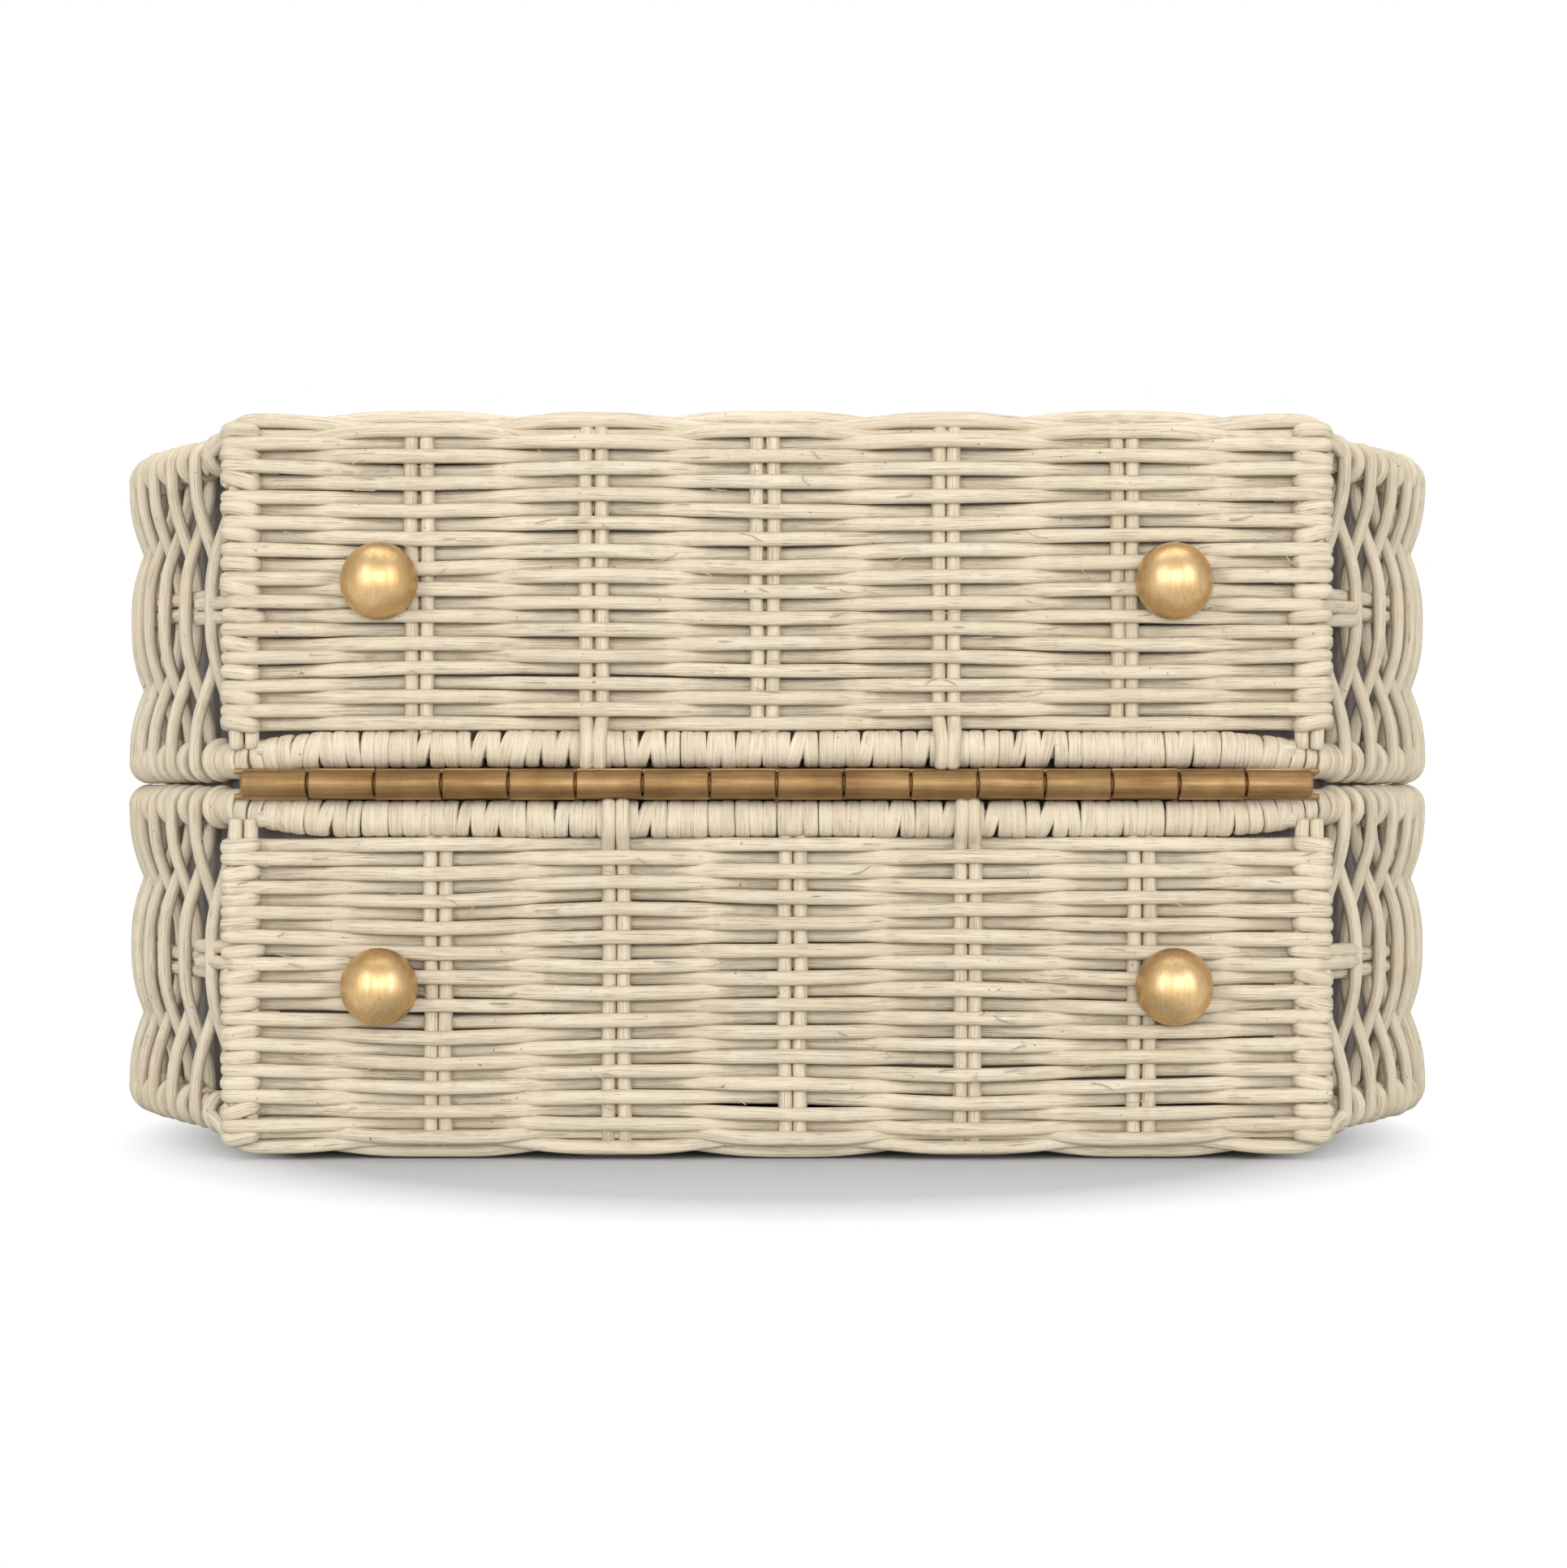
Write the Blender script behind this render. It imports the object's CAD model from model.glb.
import bpy
import numpy as np
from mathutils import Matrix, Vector


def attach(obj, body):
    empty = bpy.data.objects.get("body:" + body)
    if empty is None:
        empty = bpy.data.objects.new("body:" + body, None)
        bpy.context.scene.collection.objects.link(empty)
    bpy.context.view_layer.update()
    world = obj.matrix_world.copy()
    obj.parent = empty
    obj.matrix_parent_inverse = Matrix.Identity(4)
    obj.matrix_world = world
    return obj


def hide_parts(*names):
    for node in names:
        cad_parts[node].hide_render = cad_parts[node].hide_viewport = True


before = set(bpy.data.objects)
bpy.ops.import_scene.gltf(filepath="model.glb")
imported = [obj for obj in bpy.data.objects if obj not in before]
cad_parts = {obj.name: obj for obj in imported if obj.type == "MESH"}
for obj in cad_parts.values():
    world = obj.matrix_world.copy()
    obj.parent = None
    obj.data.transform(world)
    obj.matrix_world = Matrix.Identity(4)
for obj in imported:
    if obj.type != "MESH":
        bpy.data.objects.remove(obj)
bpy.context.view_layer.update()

# Studio: white card under the bag in a white room, tall soft boxes in front of it, one over it
# and one behind. The bag is seen from underneath, so the camera stands level with the hinge.


class Wire:
    """A socket in a material. Operators add Math nodes, and node() adds any other node."""

    def __init__(self, tree, socket=None):
        self.tree = tree
        self.socket = socket

    def node(self, kind, settings=None, sockets=None, out=0):
        made = self.tree.nodes.new("ShaderNode" + kind)
        for key, value in (settings or {}).items():
            setattr(made, key, value)
        for key, value in (sockets or {}).items():
            if isinstance(value, Wire):
                self.tree.links.new(value.socket, made.inputs[key])
            else:
                made.inputs[key].default_value = value
        return Wire(self.tree, made.outputs[out])

    def math(self, operation, a, b=0.0):
        return self.node("Math", {"operation": operation}, {0: a, 1: b})

    def __add__(self, b):
        return self.math("ADD", self, b)

    def __sub__(self, b):
        return self.math("SUBTRACT", self, b)

    def __rsub__(self, a):
        return self.math("SUBTRACT", a, self)

    def __mul__(self, b):
        return self.math("MULTIPLY", self, b)

    __radd__ = __add__
    __rmul__ = __mul__

    def over(self, low, high):
        """0 below low, 1 above high, and a straight climb between them."""
        return self.node("MapRange", {"clamp": True}, {0: self, 1: low, 2: high})

    def noise(self, vector, scale, detail, rough=0.5):
        made = {"Vector": vector, "Scale": scale, "Detail": detail, "Roughness": rough}
        return self.node("TexNoise", None, made)

    def mix(self, share, a, b):
        return self.node("Mix", {"data_type": "RGBA"}, {0: share, 6: a, 7: b}, 2)

    def mark(self, name, out=2):
        """A value that put_mesh left at each point."""
        return self.node("Attribute", {"attribute_name": name}, out=out)


def start_material(name):
    """An empty material, and a Wire to build its nodes from."""
    material = bpy.data.materials.new(name)
    material.use_nodes = True
    material.node_tree.nodes.clear()
    return material, Wire(material.node_tree)


def end_material(wire, shader):
    """The shader goes to the output of the material."""
    out = wire.tree.nodes.new("ShaderNodeOutputMaterial")
    wire.tree.links.new(shader.socket, out.inputs["Surface"])


def put_mesh(name, points, faces, material, marks=None):
    """An object from arrays of points in metres and of faces, with one value of each mark a point."""
    mesh = bpy.data.meshes.new(name)
    mesh.vertices.add(len(points))
    mesh.vertices.foreach_set("co", np.ascontiguousarray(points, dtype=np.float32).ravel())
    corners = np.concatenate([f.ravel() for f in faces])
    sizes = np.concatenate([np.full(len(f), f.shape[1]) for f in faces])
    mesh.loops.add(len(corners))
    mesh.loops.foreach_set("vertex_index", corners.astype(np.int32))
    mesh.polygons.add(len(sizes))
    mesh.polygons.foreach_set("loop_start", (np.cumsum(sizes) - sizes).astype(np.int32))
    mesh.polygons.foreach_set("use_smooth", np.ones(len(sizes), dtype=bool))
    mesh.update(calc_edges=True)
    for key, value in (marks or {}).items():
        kind, field = ("FLOAT_VECTOR", "vector") if value.ndim == 2 else ("FLOAT", "value")
        mark = mesh.attributes.new(key, kind, "POINT")
        mark.data.foreach_set(field, np.ascontiguousarray(value, dtype=np.float32).ravel())
    mesh.materials.append(material)
    piece = bpy.data.objects.new(name, mesh)
    bpy.context.scene.collection.objects.link(piece)
    return piece


def sheet_of_card(half, steps=9):
    """A level sheet under the bag: a square grid on the floor."""
    side = np.linspace(-half, half, steps)
    x, y = np.meshgrid(side, side)
    grid = np.stack([x, y, 0 * x], axis=-1)
    index = np.arange(steps * steps).reshape(steps, steps)
    quads = np.stack([index[:-1, :-1], index[:-1, 1:], index[1:, 1:], index[1:, :-1]], axis=-1)
    return grid.reshape(-1, 3), [quads.reshape(-1, 4)]


card, wire = start_material("white_card")
where = wire.node("TexCoord", out=3)
paper = wire.noise(where, 90.0, 3.0)
card_tone = wire.mix(paper, (0.505, 0.520, 0.540, 1), (0.525, 0.540, 0.560, 1))
matt = wire.node("BsdfPrincipled", None, {"Base Color": card_tone, "Roughness": 0.9})
white = wire.node("Emission", None, {"Color": (1, 1, 1, 1), "Strength": 1.0})
# Beyond an ellipse round the bag, the camera and the brass see plain white in place of the card
near = wire.node("Mapping", None, {0: where, 1: (0, 0.42, 0), 3: (7.6, 6.6, 0)})
far = wire.node("VectorMath", {"operation": "LENGTH"}, {0: near}, 1).over(0.78, 1.02)
seen = wire.node("LightPath")
mirrored = wire.node("LightPath", out=3)
shared = wire.math("MAXIMUM", seen, mirrored) * far
end_material(wire, wire.node("MixShader", None, {0: shared, 1: matt, 2: white}))
floor = put_mesh("floor", *sheet_of_card(half=60.0), card)

world = bpy.data.worlds.new("white_room")
bpy.context.scene.world = world
world.use_nodes = True
world.node_tree.nodes.clear()
wire = Wire(world.node_tree)
# The camera sees a white room, and the brass mirrors one a little brighter than its light
seen = wire.node("LightPath")
mirrored = wire.node("LightPath", out=3)
shown = wire.math("MAXIMUM", seen, mirrored * 0.30)
room = wire.node("Background", None, {"Color": (1, 1, 1, 1), "Strength": 0.58})
white = wire.node("Background", None, {"Color": (1, 1, 1, 1), "Strength": 1.0})
lit = wire.node("MixShader", None, {0: shown, 1: room, 2: white})
out = world.node_tree.nodes.new("ShaderNodeOutputWorld")
world.node_tree.links.new(lit.socket, out.inputs["Surface"])

# Each soft box: its place, the point it faces, its width and height in metres, and its power
for name, at, to, size, power in (
    ("soft_box_over", (0.0, 0.05, 1.10), (0.0, -0.05, 0.07), (1.1, 0.7), 5.2),
    ("soft_box_front", (0.10, -1.60, 0.42), (0.0, -0.10, 0.07), (0.60, 0.66), 8.4),
    ("soft_box_left", (-0.84, -1.20, 0.42), (0.0, -0.10, 0.07), (0.40, 1.05), 8.7),
    ("soft_box_right", (0.92, -1.15, 0.42), (0.0, -0.10, 0.07), (0.40, 1.05), 7.7),
    ("soft_box_back", (-0.35, 1.45, 0.75), (0.0, 0.05, 0.07), (1.1, 0.7), 7.0),
):
    lamp = bpy.data.lights.new(name, "AREA")
    lamp.shape = "RECTANGLE"
    lamp.size, lamp.size_y = size
    lamp.energy = power
    box = bpy.data.objects.new(name, lamp)
    box.location = at
    box.rotation_euler = (Vector(to) - Vector(at)).to_track_quat("-Z", "Y").to_euler()
    bpy.context.scene.collection.objects.link(box)

lens = bpy.data.cameras.new("camera")
lens.sensor_width = 36
lens.lens = 78.2
lens.clip_start = 0.01
camera = bpy.data.objects.new("camera", lens)
camera.location = (0.0013, -0.7718, 0.0718)
camera.rotation_euler = (np.pi / 2, 0, 0)
bpy.context.scene.collection.objects.link(camera)
bpy.context.scene.camera = camera
bpy.context.scene.view_settings.view_transform = "Standard"

# Hoops and rails: steamed cane bent to the outline of each shell, one hoop at the seam and one
# round the face. The straight rail along the base carries the hinge. Painted cream.

# Outline in millimetres, seen from the face: x across, v up from the base stakes. The depth away
# from the seam is w.
half_w, shell_h, flare, flank_r, corner_r = 132.2, 179.0, np.radians(45), 107.6, 6.0
lean_in, shoulder_r, lean = np.radians(18), 36.0, np.radians(76)
flank_c = (half_w - flank_r, corner_r + (flank_r - corner_r) * np.sin(flare))
crown_rise = (1 - np.sin(lean)) / np.cos(lean)
upper_r = (
    shell_h - flank_c[1] - shoulder_r + shoulder_r * np.sin(lean_in)
    - crown_rise * (half_w - shoulder_r * np.cos(lean_in))
) / (np.sin(lean_in) - crown_rise * (1 - np.cos(lean_in)))
upper_c = (half_w - upper_r, flank_c[1])
shoulder_c = (
    upper_c[0] + (upper_r - shoulder_r) * np.cos(lean_in),
    upper_c[1] + (upper_r - shoulder_r) * np.sin(lean_in),
)
top_r = shoulder_r + shoulder_c[0] / np.cos(lean)
top_c = (0.0, shoulder_c[1] + (shoulder_r - top_r) * np.sin(lean))
arc_c = np.array([top_c, shoulder_c, upper_c, flank_c])
arc_r = np.array([top_r, shoulder_r, upper_r, flank_r])
arc_from = np.array([np.pi / 2, lean, lean_in, 0.0])
arc_to = np.array([lean, lean_in, 0.0, -flare])
arc_start = np.concatenate([[0.0], np.cumsum(arc_r * (arc_from - arc_to))])
wall_l = arc_start[-1]

rim_w, face_hoop_w, rail_w = 4.4, 65.2, 6.5
side_drop, drop_from, drop_over = 2.7, 3.4, 9.0
seam_z, base_y = 71.8, -121.792
shells = {"lower": -1.0, "upper": 1.0}
rng = np.random.default_rng(41)


def on_wall(length):
    """Places at signed lengths along the outline from the middle of the top, with the way out.
    Each length falls on one of four arcs, and is turned into an angle on that arc."""
    far = np.minimum(np.abs(length), wall_l)
    arc = np.clip(np.searchsorted(arc_start, far, side="right") - 1, 0, 3)
    angle = arc_from[arc] - (far - arc_start[arc]) / arc_r[arc]
    out = np.stack([np.cos(angle), np.sin(angle)], axis=-1)
    place = arc_c[arc] + arc_r[arc][..., None] * out
    mirror = np.stack([np.where(length < 0, -1.0, 1.0), np.ones_like(far)], axis=-1)
    return place * mirror, out * mirror


def in_shell(lines, shell):
    """Millimetres in a shell (across, up from the base, away from the seam) to metres in the frame."""
    lines = np.asarray(lines, dtype=float)
    return (lines * (1, 1, shells[shell]) + (0, base_y, seam_z)) * 0.001


def round_reed(thick, sides, flat=1.0):
    """A circle, or an ellipse where the reed is pressed flat, as offsets across and out."""
    turn = np.arange(sides) * 2 * np.pi / sides
    return thick / 2 * np.stack([np.cos(turn), flat * np.sin(turn)], axis=1)


def flat_reed(wide, thick, sides, square=0.5):
    """A flat reed with rounded edges: a superellipse, fuller at the corners for a lower power."""
    turn = (np.arange(sides) + 0.5) * 2 * np.pi / sides
    both = np.stack([np.cos(turn), np.sin(turn)], axis=1)
    return np.sign(both) * np.abs(both) ** square * (wide / 2, thick / 2)


def ring_quads(index):
    """The faces between each ring of points and the next one."""
    after = np.roll(index, -1, axis=-1)
    corners = index[..., :-1, :], after[..., :-1, :], after[..., 1:, :], index[..., 1:, :]
    return np.stack(corners, axis=-1).reshape(-1, 4)


def run_reed(lines, section, across, swell=1.0):
    """A section carried along every line: at each point the section stands square to the line, with
    its first axis as near to `across` as it can be. Both ends close in a point. Lines are in metres
    and the section in millimetres. Gives points, faces and the marks that the grain follows."""
    count, steps = lines.shape[:2]
    sides = len(section)
    along = np.gradient(lines, axis=1)
    along /= np.linalg.norm(along, axis=2, keepdims=True)
    across = np.broadcast_to(np.asarray(across, dtype=float), lines.shape)
    wide = across - along * np.sum(across * along, axis=2, keepdims=True)
    wide /= np.linalg.norm(wide, axis=2, keepdims=True)
    thick = np.cross(along, wide)
    size = np.broadcast_to(swell, (count, steps))
    ring = section[:, 0, None] * wide[:, :, None, :] + section[:, 1, None] * thick[:, :, None, :]
    rings = lines[:, :, None, :] + 0.001 * size[:, :, None, None] * ring
    body = rings.reshape(-1, 3)
    tip_l = 0.0004
    tip = tip_l * np.stack([-along[:, 0], along[:, -1]], axis=1)
    ends = (np.stack([lines[:, 0], lines[:, -1]], axis=1) + tip).reshape(-1, 3)
    index = np.arange(count * steps * sides).reshape(count, steps, sides)
    after = np.roll(index, -1, axis=2)
    pole = len(body) + np.arange(2 * count).reshape(count, 2, 1)
    first, last = (np.broadcast_to(pole[:, end], (count, sides)) for end in (0, 1))
    caps = np.concatenate([
        np.stack([after[:, 0], index[:, 0], first], axis=-1).reshape(-1, 3),
        np.stack([index[:, -1], after[:, -1], last], axis=-1).reshape(-1, 3),
    ])
    gone = np.linalg.norm(np.diff(lines, axis=1), axis=2)
    gone = np.concatenate([np.zeros((count, 1)), np.cumsum(gone, axis=1)], axis=1)
    own = rng.random((count, 1))
    turn = np.arctan2(section[:, 1], section[:, 0])
    grain = np.zeros((count, steps, sides, 3))
    grain[..., 0] = np.cos(turn)
    grain[..., 1] = np.sin(turn)
    grain_along, grain_start = 13, 90
    grain[..., 2] = (gone * grain_along + own * grain_start)[:, :, None]
    tone = np.broadcast_to(own[:, :, None], (count, steps, sides))
    end_grain = np.stack([grain[:, 0, 0], grain[:, -1, 0]], axis=1).reshape(-1, 3)
    marks = {
        "grain": np.concatenate([grain.reshape(-1, 3), end_grain]),
        "strand": np.concatenate([tone.ravel(), np.repeat(own.ravel(), 2)]),
    }
    return np.concatenate([body, ends]), [ring_quads(index), caps], marks


def join(runs):
    """Several runs as one mesh: each run's faces are counted on from the points before it."""
    points, faces, marks = zip(*runs)
    starts = np.cumsum([0] + [len(own) for own in points])
    faces = [f + start for own, start in zip(faces, starts) for f in own]
    return np.concatenate(points), faces, {
        key: np.concatenate([own[key] for own in marks]) for key in marks[0]
    }


def painted_reed(name, pale, deep, brown, gloss):
    """Cream paint on reed: fine streaks along the reed, each reed a little lighter or darker, thin
    places where the brown of the reed comes through, and small dark nicks."""
    material, wire = start_material(name)
    grain = wire.mark("grain", 1)
    own = wire.mark("strand")
    where = wire.node("TexCoord", out=3)
    fine = wire.noise(grain, 5.2, 5.0, 0.70)
    broad = wire.noise(grain, 1.5, 2.0)
    fibre = wire.noise(grain, 9.0, 2.0, 0.5)
    cloud = wire.noise(where, 55.0, 3.0)
    dabs = wire.noise(where, 420.0, 2.0)
    shade = 0.66 * fine + 0.24 * cloud + 0.09 * own
    tone = wire.mix(shade.over(0.39, 0.56), (*deep, 1), (*pale, 1))
    lines = fibre.over(0.58, 0.70) * dabs.over(0.30, 0.60)
    tone = wire.mix(lines * 0.55, tone, (*brown, 1))
    worn = (fine * 0.6 + broad * 0.4).over(0.585, 0.70) * (dabs.over(0.40, 0.62) * 0.55)
    tone = wire.mix(worn, tone, (*brown, 1))
    nick = wire.noise(where, 950.0, 1.0).over(0.755, 0.79)
    tone = wire.mix(nick * 0.6, tone, (0.20, 0.13, 0.07, 1))
    height = fine * 0.75 + broad * 0.55 - lines * 0.45 + dabs * 0.10
    relief = wire.node("Bump", None, {"Strength": 0.75, "Distance": 0.0006, "Height": height})
    rough = gloss + 0.16 * fine
    end_material(wire, wire.node("BsdfPrincipled", None, {
        "Base Color": tone, "Roughness": rough, "Normal": relief, "Specular IOR Level": 0.16,
    }))
    return material


reed_paint = painted_reed(
    "painted_reed", (0.756, 0.660, 0.506), (0.642, 0.541, 0.394), (0.420, 0.305, 0.180), 0.60)
cane_paint = painted_reed(
    "painted_cane", (0.742, 0.646, 0.491), (0.627, 0.526, 0.379), (0.400, 0.290, 0.168), 0.56)
paints = {"reed": reed_paint, "cane": cane_paint}


def uneven(count, steps, amount, waves):
    """A slow random rise and fall along each line, as a sum of two sines with random starts."""
    go = np.linspace(0, 2 * np.pi, steps)[None, :]
    start = rng.random((count, 2, 1)) * 2 * np.pi
    return amount * (np.sin(waves * go + start[:, 0]) + 0.6 * np.sin(2.3 * waves * go + start[:, 1]))


def fit(piece, shell, slot, *nodes):
    """The piece rides its shell, stands for these nodes and takes the finish of that slot."""
    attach(piece, shell + "_shell")
    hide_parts(*(shell + "_" + node for node in nodes))


def put_reed(run, shell, name, slot, node):
    """A run of reed becomes a piece of its shell, painted as its slot, in place of one node."""
    points, faces, marks = run
    fit(put_mesh(shell + "_" + name, points, faces, paints[slot], marks), shell, slot, node)


def spaced(line, steps):
    """The same line with its points at even lengths along it."""
    gone = np.concatenate([[0.0], np.cumsum(np.linalg.norm(np.diff(line, axis=0), axis=1))])
    even = np.linspace(0, gone[-1], steps)
    return np.stack([np.interp(even, gone, places) for places in line.T], axis=1)


def smooth_loop(corners, steps, soften):
    """A closed line with even spacing, its corners rounded by a running mean round the loop."""
    line = spaced(np.concatenate([corners, corners[:1]]), steps + 1)[:-1]
    shifts = range(-soften, soften + 1)
    line = sum(np.roll(line, shift, axis=0) for shift in shifts) / len(shifts)
    return np.concatenate([line, line[:1]])


def hoop_depth(v):
    """Depth of the face hoop: full along the base, less from just above it, with an S between."""
    share = np.clip((v - drop_from) / drop_over, 0, 1)
    return face_hoop_w - side_drop * share * share * (3 - 2 * share)


bend_r, hoop_d = 3.15, 3.4
rail_half, base_half, loop_gap = 98.9, 101, 1.95
hoop_steps, side_steps, rail_steps, loop_steps = 260, 300, 60, 330
hoop_section = round_reed(hoop_d, 12)
for shell in shells:
    place, _ = on_wall(np.linspace(-wall_l, wall_l, hoop_steps))
    bend = np.concatenate([place, np.full((hoop_steps, 1), rim_w)], axis=1)
    run = run_reed(in_shell(bend[None], shell), hoop_section, (0, 0, 1))
    put_reed(run, shell, "rim_hoop_cane", "cane", "rim_hoop")

    rail = np.linspace((-rail_half, 0, rail_w), (rail_half, 0, rail_w), rail_steps)
    run = run_reed(in_shell(rail[None], shell), hoop_section, (0, 0, 1))
    put_reed(run, shell, "rim_rail_cane", "cane", "rim_rail")

    place, _ = on_wall(np.linspace(-wall_l + loop_gap, wall_l - loop_gap, side_steps))
    base_x = np.linspace(base_half, -base_half, rail_steps)
    base = np.stack([base_x, np.full(rail_steps, bend_r)], axis=1)
    loop = smooth_loop(np.concatenate([place, base]), loop_steps, 2)
    loop = np.concatenate([loop, hoop_depth(loop[:, 1])[:, None]], axis=1)
    run = run_reed(in_shell(loop[None], shell), hoop_section, (0, 0, 1))
    put_reed(run, shell, "face_hoop_cane", "cane", "face_hoop")

# Stakes: pairs of thin canes, cut to length, that run up the base, bend round the face hoop and
# lie along the face. Two pairs are hooked over the rim, and the others end inside it. The outer
# pair at each end is the post that the base rows turn round.

cane_d, pair_x, pair_spread, stake_sway = 2.75, 1.5, 0.08, 0.12
stake_section = round_reed(cane_d, 10, 0.90)
stake_x = {
    "upper": np.array([-68.2, -34.9, -2.2, 32.4, 66.4]),
    "lower": np.array([-64.6, -30.6, 3.0, 36.4, 69.6]),
}
post_x = 101.7
face_w = face_hoop_w + bend_r
stake_start, stake_short = 6.8, 5.0
hooked_pairs, rim_hook_r, hook_end, straight_from = (2, 4), 4.0, 13.6, 15.0
pinch_from, pinch_over, pinch_by = 13.0, 5.0, 0.22
foot_points, bend_points, face_points = 36, 10, 30


def pair_places(shell):
    """Where the pairs of stakes stand across the base, with the post at each end."""
    return np.concatenate([[-post_x], stake_x[shell], [post_x]])


def wall_height(x):
    """Height of the outline over a place on the base: the top arc, or the shoulder arc beyond it."""
    x = np.abs(x)
    over = top_c[1] + np.sqrt(np.maximum(top_r**2 - x**2, 0))
    side = shoulder_c[1] + np.sqrt(np.maximum(shoulder_r**2 - (x - shoulder_c[0])**2, 0))
    return np.where(x < top_r * np.cos(lean), over, side)


def stake_foot(hooked):
    """The start of a stake, as height and depth: straight out of the binding, or part of a circle
    over the rim that eases back to the plane of the base as a square."""
    if not hooked:
        up = np.linspace(stake_start, face_hoop_w, foot_points, endpoint=False)
        return np.stack([0 * up, up], axis=1)
    turn = np.radians(np.linspace(140, 40, 12))
    arc = np.stack([-rim_hook_r * np.sin(turn), rail_w + rim_hook_r * np.cos(turn)], axis=1)
    rise = np.linspace(arc[-1, 1], hook_end, 8)[1:]
    straight = foot_points - len(turn) - len(rise)
    up = np.concatenate([rise, np.linspace(straight_from, face_hoop_w, straight, endpoint=False)])
    ease = np.clip((hook_end - up) / (hook_end - arc[-1, 1]), 0, 1)
    return np.concatenate([arc, np.stack([arc[-1, 0] * ease * ease, up], axis=1)])


def stake_lines(x, hooked):
    """Up the base, a quarter circle round the face hoop, then straight along the face."""
    foot = stake_foot(hooked)
    bent = foot_points + bend_points
    turn = np.linspace(0, np.pi / 2, bend_points)
    bend = np.stack([bend_r - bend_r * np.cos(turn), face_hoop_w + bend_r * np.sin(turn)], axis=1)
    go = np.linspace(0, 1, face_points + 1)[1:]
    lines = np.zeros((len(x), bent + face_points, 3))
    lines[:, :, 0] = x[:, None] + uneven(len(x), lines.shape[1], stake_sway, 2)
    lines[:, :bent, 1:] = np.concatenate([foot, bend])
    lines[:, bent:, 1] = bend_r + go * (wall_height(x)[:, None] - stake_short - bend_r)
    lines[:, bent:, 2] = face_w
    return lines


for shell in shells:
    runs = []
    for i, middle in enumerate(pair_places(shell)):
        hooked = i in hooked_pairs
        apart = pair_x + rng.normal(0, pair_spread)
        lines = stake_lines(middle + apart * np.array([-1.0, 1.0]), hooked)
        if hooked:
            foot = lines[:, :foot_points]
            pinch = np.clip((pinch_from - foot[:, :, 2]) / pinch_over, 0, 1)
            foot[:, :, 0] -= (foot[:, :, 0] - middle) * pinch_by * pinch
        runs.append(run_reed(in_shell(lines, shell), stake_section, (1, 0, 0)))
    put_reed(join(runs), shell, "stake_canes", "cane", "stakes")

# Base weave: soaked round reed passed in front of one pair of stakes and behind the next. Each
# row turns round the end post, and every second one goes round it once more, as a short oval
# wrap. Two rows run on past the posts into the sides, and the last two fall round the corners.

reed_section = round_reed(2.74, 10, 0.84)
base_rows, base_first, base_step, lift = 25, 11.5, 2.55, 1.8
base_bay_steps, row_wander, row_change = 15, 0.26, 0.03
tail_l, post_inset, post_swell = 6.5, 0.2, 0.10
wrap_tilt, tilt_spread, wrap_r, wrap_rise = 0.45, 0.32, 1.75, 0.3
bend_turn, bend_deep, bend_flat = 0.2, 0.6, 0.95
long_rows, row_past, wall_slope = (8, 9), 10.5, 1.15
corner_rows, corner_x, fall_from, fall_up, fall_in = (23, 24), 110.2, 1.2, 6.5, 5.3
fibre_count, fibre_d = 70, 0.22


def bays(stops, front, bay_steps):
    """A row between its first and last stop: across each bay its height goes from one stop's side
    to the next one's as a cosine with flattened ends."""
    share = np.linspace(0, 1, bay_steps, endpoint=False)
    wave = np.cos(np.pi * share)
    wave = wave * (1.5 - 0.5 * wave * wave)
    x = stops[:-1, None] + np.diff(stops)[:, None] * share
    mid = (front[:-1, None] + front[1:, None]) / 2
    height = mid + (front[:-1, None] - front[1:, None]) / 2 * wave
    return np.append(x.ravel(), stops[-1]), np.append(height.ravel(), front[-1])


def post_turn(front, steps=12):
    """The end of a row at a post, outwards from the middle of the pair: on along the row, half a
    circle round the outer cane, then back behind the post, or in front of it and round its inside."""
    turn = np.linspace(0, np.pi, steps)
    out_x = pair_x + lift * np.sin(turn)
    out_v = np.cos(turn) * front
    if front > 0:
        back = np.stack([np.linspace(pair_x, -tail_l, 6)[1:], np.full(5, -1.0)], axis=1)
    else:
        inner = np.linspace(0, 2.2, 9)
        inner_x = post_inset - pair_x
        over = np.stack([np.linspace(pair_x, inner_x, 5)[1:-1], np.ones(3)], axis=1)
        round_x = inner_x - lift / 2 * np.sin(inner)
        back = np.concatenate([over, np.stack([round_x, np.cos(inner)], axis=1)])
    return np.concatenate([np.stack([out_x, out_v], axis=1), back])


def wander(rows, stops, amount):
    """Random sideways shifts of every row at every stop, each row near to the one before it."""
    shifts = rng.normal(0, amount, (rows, stops))
    for k in range(1, rows):
        shifts[k] += 0.75 * shifts[k - 1]
    return shifts


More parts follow.
